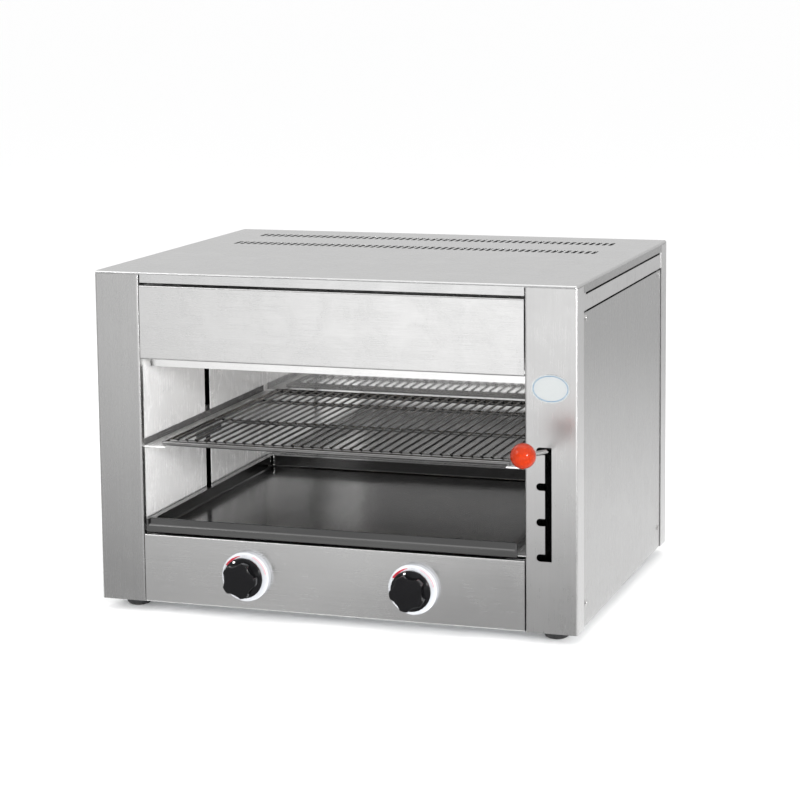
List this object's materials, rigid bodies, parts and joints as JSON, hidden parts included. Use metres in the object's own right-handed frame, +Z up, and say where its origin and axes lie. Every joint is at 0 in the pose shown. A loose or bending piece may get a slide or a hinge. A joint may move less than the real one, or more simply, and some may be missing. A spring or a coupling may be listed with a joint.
{
  "type": "gas cheese melter",
  "caption": "Countertop gas cheese melter of folded stainless steel with an open front, a wire rack raised by a side lever, a drip tray, star-shaped knobs and rubber feet.",
  "frame": {"origin": "centre of the bounding box at the height of the feet's undersides", "axes": "+Z up, -Y to the front where the rack, the knobs and the lever's ball are, +X to the right"},
  "size_m": [0.6262, 0.629, 0.4355],
  "materials": {
    "outer_steel": "fine brushed stainless sheet",
    "inner_steel": "bright smooth stainless sheet",
    "tray_steel": "smooth stainless sheet, dulled by heat",
    "zinc_sheet": "galvanised sheet",
    "rack_chrome": "bright plated wire",
    "bright_steel": "plated steel",
    "plain_steel": "zinc plated steel",
    "brass": "turned brass",
    "copper": "drawn copper tube",
    "burner_iron": "heat-dulled iron",
    "tile_ceramic": "matt pierced ceramic",
    "dial_white": "glossy white",
    "badge_white": "glossy blank plate",
    "knob_black": "glossy moulded",
    "ball_orange": "glossy moulded",
    "foot_rubber": "matt moulded"
  },
  "bodies": {
    "cabinet": {"back_panel": "zinc_sheet", "back_panel_screws": "bright_steel", "badge": "badge_white", "base_pan": "zinc_sheet", "burner_box": "inner_steel", "cavity_back": "inner_steel", "flame_sensors": "copper", "foot_back_left": "foot_rubber", "foot_back_right": "foot_rubber", "foot_front_left": "foot_rubber", "foot_front_right": "foot_rubber", "foot_studs": "bright_steel", "gas_inlet": "brass", "guide_brackets": "zinc_sheet", "hood_panel": "outer_steel", "injectors": "brass", "left_burner": "burner_iron", "left_burner_tile": "tile_ceramic", "left_cavity_wall": "inner_steel", "left_dial": "dial_white", "left_gas_pipe": "copper", "left_gas_valve": "brass", "left_guide_rod": "bright_steel", "left_side_frame": "outer_steel", "left_side_panel": "outer_steel", "left_tray_runner": "inner_steel", "lower_panel": "outer_steel", "manifold": "plain_steel", "pivot_bushes": "brass", "right_burner": "burner_iron", "right_burner_tile": "tile_ceramic", "right_cavity_wall": "inner_steel", "right_dial": "dial_white", "right_gas_pipe": "copper", "right_gas_valve": "brass", "right_guide_rod": "bright_steel", "right_side_frame": "outer_steel", "right_side_panel": "outer_steel", "right_tray_runner": "inner_steel", "side_panel_screws": "bright_steel", "top_cover": "outer_steel"},
    "lift": {"cross_shaft": "bright_steel", "left_lift_arm": "plain_steel", "right_lift_arm": "plain_steel", "swing_pin": "bright_steel"},
    "lever": {"lever_rod": "bright_steel", "ball_knob": "ball_orange"},
    "carriage": {"left_carrier": "plain_steel", "right_carrier": "plain_steel", "left_rack_rail": "inner_steel", "right_rack_rail": "inner_steel", "rail_nuts": "bright_steel"},
    "rack": {"rack_frame": "rack_chrome", "rack_wires": "rack_chrome"},
    "tray": {"drip_tray": "tray_steel"},
    "left_valve_spindle": {"left_spindle": "brass"},
    "left_burner_knob": {"left_knob": "knob_black"},
    "right_valve_spindle": {"right_spindle": "brass"},
    "right_burner_knob": {"right_knob": "knob_black"}
  },
  "joints": [
    {"name": "rack_lift", "type": "hinge", "parent": "cabinet", "child": "lift", "pos_m": [0, 0.2495, 0.17105], "axis": [1, 0, 0], "range_deg": [0, 16.25]},
    {"name": "lever_swing", "type": "hinge", "parent": "lift", "child": "lever", "pos_m": [0.282, -0.04254, 0.21274], "axis": [0, -0.1413, -0.99], "range_deg": [0, 3.3]},
    {"name": "carriage_slide", "type": "slide", "parent": "cabinet", "child": "carriage", "axis": [0, 0, -1], "range_m": [0, 0.0671]},
    {"name": "rack_slide", "type": "slide", "parent": "carriage", "child": "rack", "axis": [0, -1, 0], "range_m": [0, 0.2]},
    {"name": "tray_slide", "type": "slide", "parent": "cabinet", "child": "tray", "axis": [0, -1, 0], "range_m": [0, 0.2]},
    {"name": "left_knob_turn", "type": "hinge", "parent": "cabinet", "child": "left_valve_spindle", "pos_m": [-0.11225, -0.2055, 0.057], "axis": [0, -1, 0], "range_deg": [-20, 190]},
    {"name": "left_knob_push", "type": "slide", "parent": "left_valve_spindle", "child": "left_burner_knob", "axis": [0, 1, 0], "range_m": [0, 0.0035], "stiffness_N_per_m": 1500},
    {"name": "right_knob_turn", "type": "hinge", "parent": "cabinet", "child": "right_valve_spindle", "pos_m": [0.10725, -0.2055, 0.057], "axis": [0, -1, 0], "range_deg": [-20, 190]},
    {"name": "right_knob_push", "type": "slide", "parent": "right_valve_spindle", "child": "right_burner_knob", "axis": [0, 1, 0], "range_m": [0, 0.0035], "stiffness_N_per_m": 1500}
  ],
  "couplings": [
    {"joint": "carriage_slide", "follows": "rack_lift", "m_per_rad": 0.23659}
  ]
}
